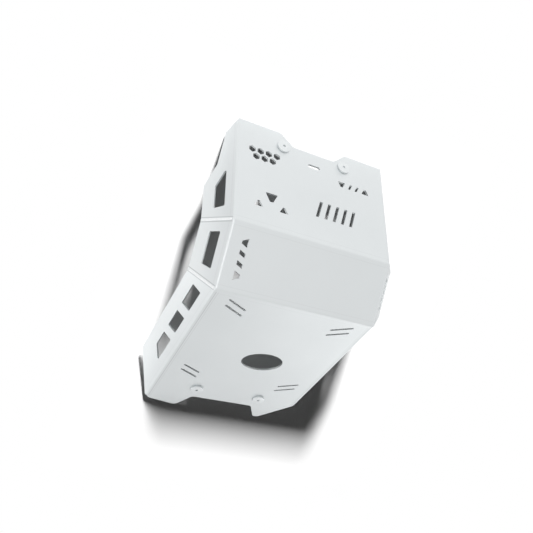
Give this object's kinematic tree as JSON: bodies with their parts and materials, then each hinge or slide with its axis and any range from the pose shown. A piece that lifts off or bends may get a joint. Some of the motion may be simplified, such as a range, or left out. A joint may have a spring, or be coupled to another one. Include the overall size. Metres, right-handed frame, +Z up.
{
  "type": "engine guard",
  "caption": "Folded sheet-metal engine guard for a motorbike, with welded side flanges, cut-out windows and vents, an oval drain opening and wide-headed screws.",
  "frame": {"origin": "bottom centre of the box around the guard as it lies on a table with its open side down", "axes": "+X across the guard to its chamfered rear corner, +Y from the rear tabs to the upper edge, +Z up, out of the outer face"},
  "size_m": [0.313, 0.4701, 0.1531],
  "materials": {
    "coated_sheet": "satin silver",
    "screw_steel": "satin"
  },
  "bodies": {
    "root": {"guard_plate": "coated_sheet", "mounting_screws": "screw_steel"}
  },
  "joints": []
}
